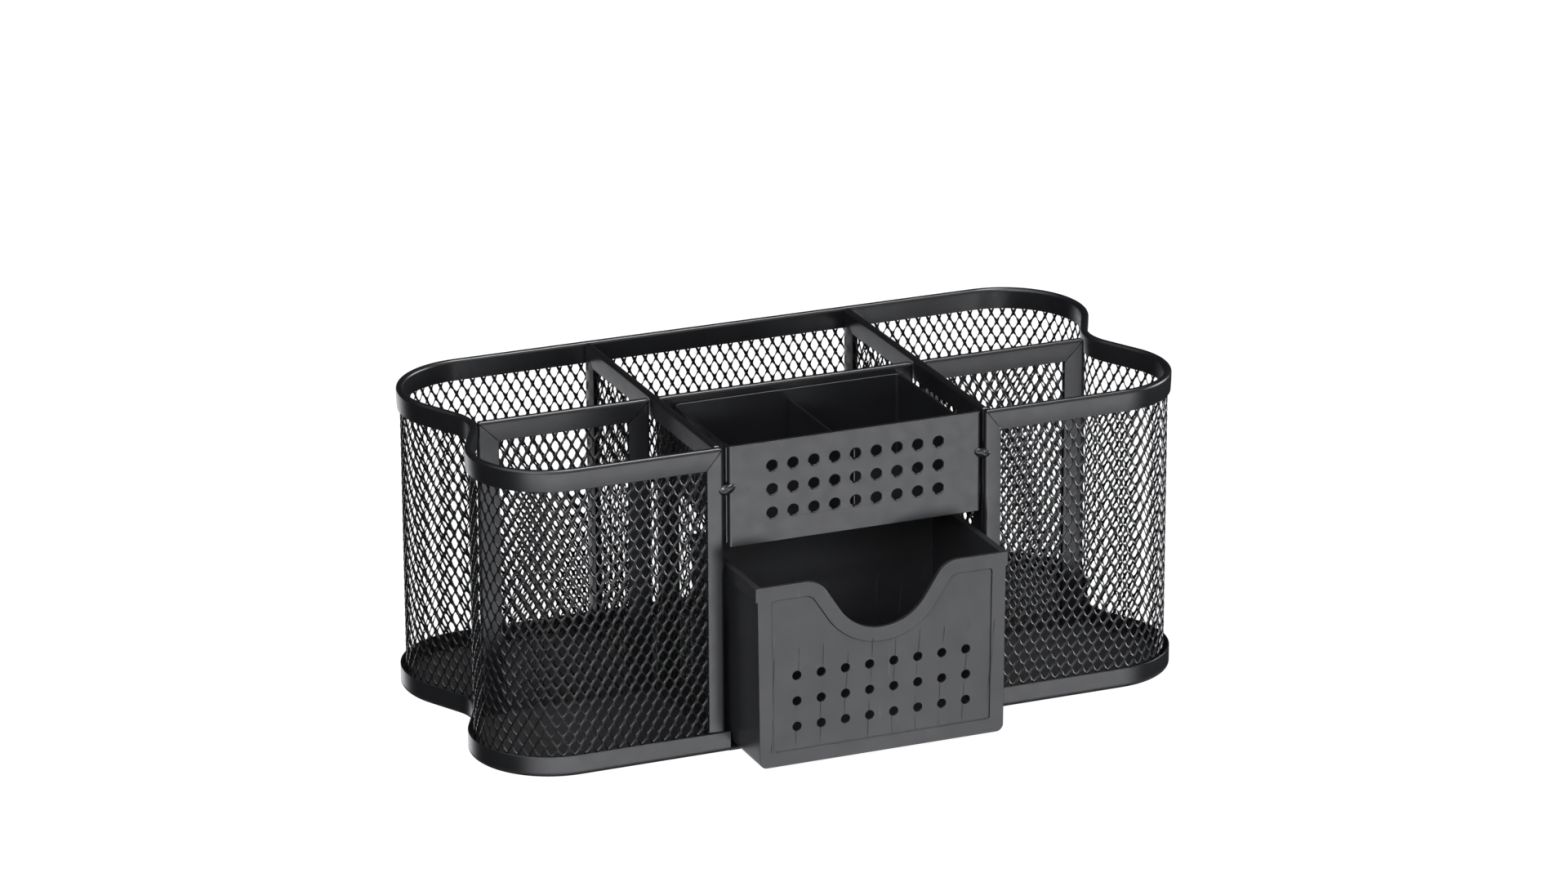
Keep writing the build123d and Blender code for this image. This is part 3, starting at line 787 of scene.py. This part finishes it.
bead = {"reach": (2.25 * mm, 1.25 * mm, 1.8 * mm), "inward": 0.7 * mm, "behind": 0.45 * mm,
        "subdivisions": 4, "lumps": (                  # way of the lump, height, sharpness
            ((0.75, -0.35, 0.55), 0.55, 6.0), ((-0.90, -0.40, 0.05), 0.22, 5.0),
            ((-0.40, -0.55, 0.75), -0.34, 9.0), ((0.05, -0.75, 0.62), 0.20, 18.0),
            ((0.15, -0.60, -0.80), -0.26, 5.0), ((-0.30, -0.85, -0.40), 0.12, 16.0))}


def beadSwell(way, side):
    swell = 1.0
    for (x, y, z), height, sharpness in bead["lumps"]:
        aim = Vector((-side * x, y, z)).normalized()
        swell += height * math.exp(sharpness * (way.dot(aim) - 1))
    return swell


weldLow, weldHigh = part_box("tack_welds")
mesh = bmesh.new()
for side in (1, -1):
    middleX = side * (weldHigh.x + trayHigh.x) / 2 - side * bead["inward"]
    middle = Vector((middleX, trayLow.y + bead["behind"], (weldLow.z + weldHigh.z) / 2))
    for vert in bmesh.ops.create_icosphere(mesh, subdivisions=bead["subdivisions"], radius=1.0)["verts"]:
        way = vert.co.normalized()
        vert.co = Vector([w * r for w, r in zip(way, bead["reach"])]) * beadSwell(way, side) + middle
addPiece("tackWelds", mesh, coatedSheet, "tack_welds", sharp=180.0)
print("weld beads set")


# floor, light and camera

studio = {"lens": 150.0, "sensor": 36.0, "target": Vector((0, -0.008, 0.050)), "distance": 2.076,
          "azimuth": -22.80, "elevation": 20.08, "roll": -0.21, "shift": (-0.0065, 0.0575), "floorHalf": 4.0}


def wayTo(turn, lift):                                 # degrees from the front and from level
    turn, lift = math.radians(turn), math.radians(lift)
    return Vector((math.sin(turn) * math.cos(lift), -math.cos(turn) * math.cos(lift), math.sin(lift)))


mesh = bmesh.new()
bmesh.ops.create_grid(mesh, x_segments=1, y_segments=1, size=studio["floorHalf"])
floor = meshObject("floor", mesh)
floor.data.materials.append(paleFloor("paleFloor", floorLook))
floor.visible_glossy = floor.visible_diffuse = floor.visible_shadow = False  # the coat mirrors the dome

overhead = {"at": (0.35, -0.25, 1.60), "size": (0.7, 0.6), "watts": 23.5}
lamp = bpy.data.lights.new("overhead", "AREA")
lamp.shape = "RECTANGLE"
lamp.size, lamp.size_y = overhead["size"]
lamp.energy = overhead["watts"]
light = bpy.data.objects.new("overhead", lamp)
light.location = overhead["at"]
light.rotation_euler = (studio["target"] - light.location).to_track_quat("-Z", "Y").to_euler()
light.visible_camera = light.visible_diffuse = False   # for highlights, so the insides stay dark
bpy.context.collection.objects.link(light)

dome = {"dim": 0.02, "tint": (0.955, 0.965, 1.0, 1),
        "panels": {                                    # turn, lift, strength, full and faded reach, flatness
            "front": (-6.0, -19.7, 5.9, 0.60, 1.0, 7.1), "right": (84.0, 9.0, 11.0, 0.30, 0.43, 1.7),
            "high": (15.0, 19.0, 0.8, 0.50, 0.65, 1.5), "left": (-50.0, 51.0, 2.5, 0.29, 0.99, 1.15),
            "shoulder": (-38.0, 26.0, 4.5, 0.12, 0.34, 1.0), "back": (178.0, -20.0, 2.0, 0.22, 0.62, 2.4)}}
world = bpy.data.worlds.new("dome")
world.use_nodes = True
bpy.context.scene.world = world
tree = world.node_tree
direction = addStep(tree, "ShaderNodeTexCoord").outputs["Generated"]
glow = dome["dim"]
for turn, lift, strength, full, faded, flatness in dome["panels"].values():
    stretch = Vector((1, 1, flatness))
    flat = vectorCalc(tree, "MULTIPLY", {0: direction, 1: stretch})[0]
    off = vectorCalc(tree, "DISTANCE", {0: flat, 1: stretch * wayTo(turn, lift)})["Value"]
    inputs = {"Value": off, "From Min": full, "From Max": faded, "To Min": strength, "To Max": 0.0}
    panel = addStep(tree, "ShaderNodeMapRange", inputs, interpolation_type="SMOOTHSTEP").outputs["Result"]
    glow = calc(tree, "ADD", panel, glow)
tree.links.new(glow, tree.nodes["Background"].inputs["Strength"])
tree.nodes["Background"].inputs["Color"].default_value = dome["tint"]

camera = bpy.data.objects.new("camera", bpy.data.cameras.new("camera"))
camera.data.lens = studio["lens"]
camera.data.sensor_width = studio["sensor"]
camera.data.shift_x, camera.data.shift_y = studio["shift"]
back = wayTo(studio["azimuth"], studio["elevation"])
camera.location = studio["target"] + back * studio["distance"]
facing = (-back).to_track_quat("-Z", "Y").to_matrix()
camera.rotation_euler = (facing @ Matrix.Rotation(math.radians(studio["roll"]), 3, "Z")).to_euler()
bpy.context.collection.objects.link(camera)
bpy.context.scene.camera = camera
bpy.context.scene.view_settings.view_transform = "Standard"
print("studio lit")
